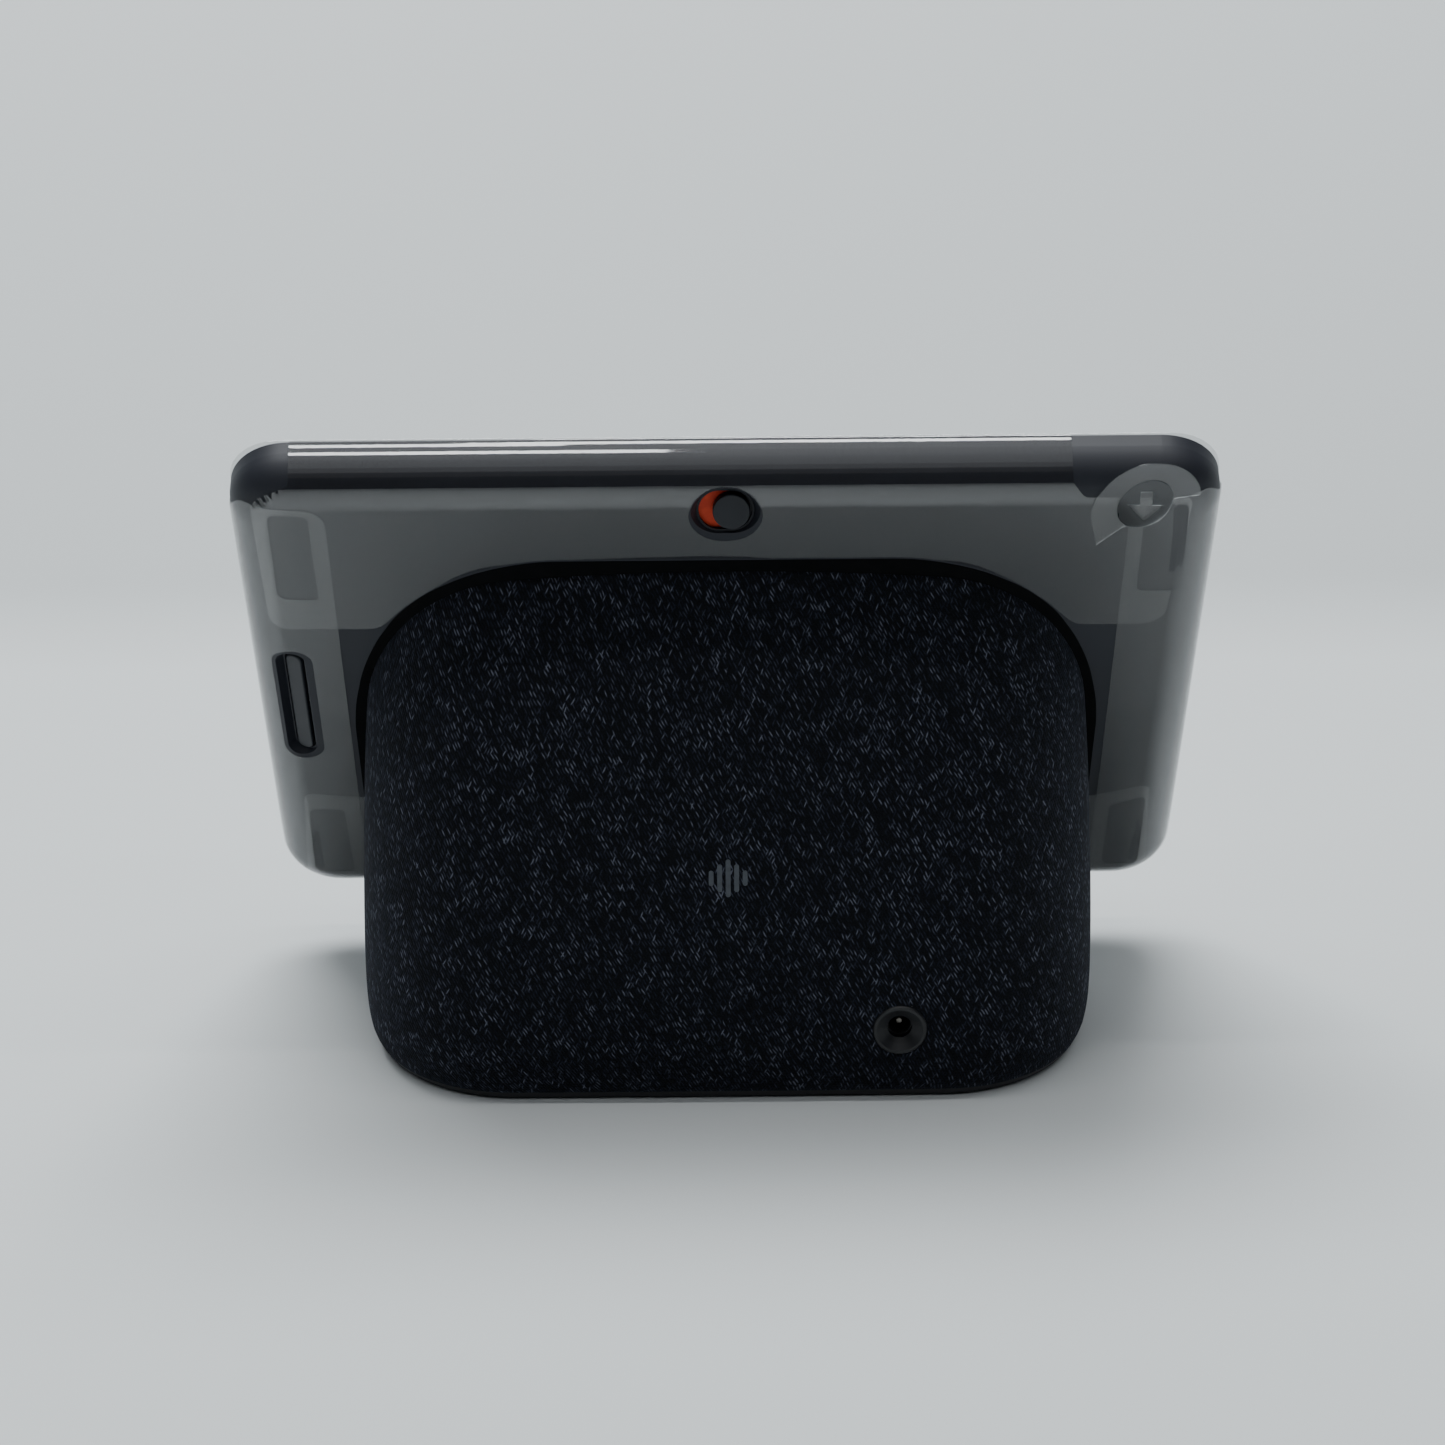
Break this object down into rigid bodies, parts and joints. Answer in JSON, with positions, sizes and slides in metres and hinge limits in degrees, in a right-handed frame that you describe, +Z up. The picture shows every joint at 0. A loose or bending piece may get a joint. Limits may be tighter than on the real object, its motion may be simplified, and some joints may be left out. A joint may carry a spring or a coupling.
{
  "type": "smart display",
  "caption": "Smart display: thin screen head tilted back on a knit-covered speaker base, with a rear microphone switch, side volume rocker and round power inlet.",
  "frame": {"origin": "on the table under the middle of the whole object's length and depth", "axes": "+X along the screen's width, +Y from the screen to the rear, +Z up; the screen looks towards -Y"},
  "size_m": [0.2504, 0.1016, 0.1827],
  "materials": {
    "charcoal_plastic": "fine satin texture",
    "dark_key_plastic": "smooth satin",
    "orange_plastic": "satin",
    "knit_fabric": "fine melange knit",
    "black_plastic": "moulded satin",
    "silicone_rubber": "matte",
    "cover_glass": "black-backed glass, gloss",
    "screen_panel": "gloss",
    "lens_glass": "gloss",
    "sheet_aluminium": "mill",
    "plated_steel": "zinc plated",
    "ferrite": "sintered",
    "circuit_board": "solder mask",
    "copper_wire": "enamelled",
    "paper_cone": "pressed fibre",
    "silk_dome": "coated silk",
    "flex_film": "polyimide",
    "nickel_contact": "nickel",
    "grey_mark": "satin",
    "clear_film": "clear polyethylene film"
  },
  "bodies": {
    "housing": {"back_badge": "grey_mark", "backlight_unit": "screen_panel", "base_cradle": "black_plastic", "base_plate": "black_plastic", "base_screws": "plated_steel", "base_shell": "black_plastic", "base_trim": "black_plastic", "board_connectors": "black_plastic", "camera_lens": "lens_glass", "camera_module": "black_plastic", "display_flex": "flex_film", "display_frame": "sheet_aluminium", "display_panel": "screen_panel", "edge_gasket": "silicone_rubber", "fabric_sleeve": "knit_fabric", "film_adhesive_pads": "clear_film", "film_pull_tab": "clear_film", "film_wrap": "clear_film", "front_glass": "cover_glass", "head_rear_housing": "charcoal_plastic", "head_screws": "plated_steel", "heat_spreader": "sheet_aluminium", "light_sensor": "lens_glass", "main_board": "circuit_board", "mic_board_left": "circuit_board", "mic_board_right": "circuit_board", "mute_switch_body": "black_plastic", "neck_bracket": "plated_steel", "neck_screws": "plated_steel", "power_jack": "black_plastic", "power_jack_bezel": "dark_key_plastic", "power_jack_pin": "nickel_contact", "rocker_pin": "plated_steel", "rubber_foot": "silicone_rubber", "shield_can": "plated_steel", "speaker_cable": "copper_wire", "speaker_enclosure": "black_plastic", "status_led": "lens_glass", "tweeter_left_body": "black_plastic", "tweeter_right_body": "black_plastic", "volume_board": "circuit_board", "volume_tact_switches": "black_plastic", "wifi_antennas": "flex_film", "woofer_basket": "black_plastic", "woofer_magnet": "ferrite", "woofer_spider": "paper_cone", "woofer_surround": "silicone_rubber", "woofer_top_plate": "plated_steel", "woofer_yoke": "plated_steel"},
    "mute_slider": {"mute_switch_knob": "dark_key_plastic", "mute_slider_plate": "dark_key_plastic", "mute_flag": "orange_plastic"},
    "volume_key": {"volume_rocker": "dark_key_plastic"},
    "woofer_motor": {"woofer_cone": "paper_cone", "woofer_dust_cap": "paper_cone", "woofer_voice_coil": "copper_wire"},
    "tweeter_left_motor": {"tweeter_left_dome": "silk_dome"},
    "tweeter_right_motor": {"tweeter_right_dome": "silk_dome"}
  },
  "joints": [
    {"name": "mute_slide", "type": "slide", "parent": "housing", "child": "mute_slider", "axis": [1, 0, 0], "range_m": [0, 0.003]},
    {"name": "volume_rock", "type": "hinge", "parent": "housing", "child": "volume_key", "pos_m": [0.11297, 0.00092, 0.09831], "axis": [-0.9397, 0.302, -0.1606], "range_deg": [-1.5, 1.5], "stiffness_Nm_per_rad": 0.02},
    {"name": "woofer_stroke", "type": "slide", "parent": "housing", "child": "woofer_motor", "axis": [0, 0.9932, 0.1163], "range_m": [-0.003, 0.003], "stiffness_N_per_m": 900, "deforming": ["woofer_surround", "woofer_spider"]},
    {"name": "tweeter_left_stroke", "type": "slide", "parent": "housing", "child": "tweeter_left_motor", "axis": [0, -1, 0], "range_m": [-0.00025, 0.00025], "stiffness_N_per_m": 400},
    {"name": "tweeter_right_stroke", "type": "slide", "parent": "housing", "child": "tweeter_right_motor", "axis": [0, -1, 0], "range_m": [-0.00025, 0.00025], "stiffness_N_per_m": 400}
  ]
}
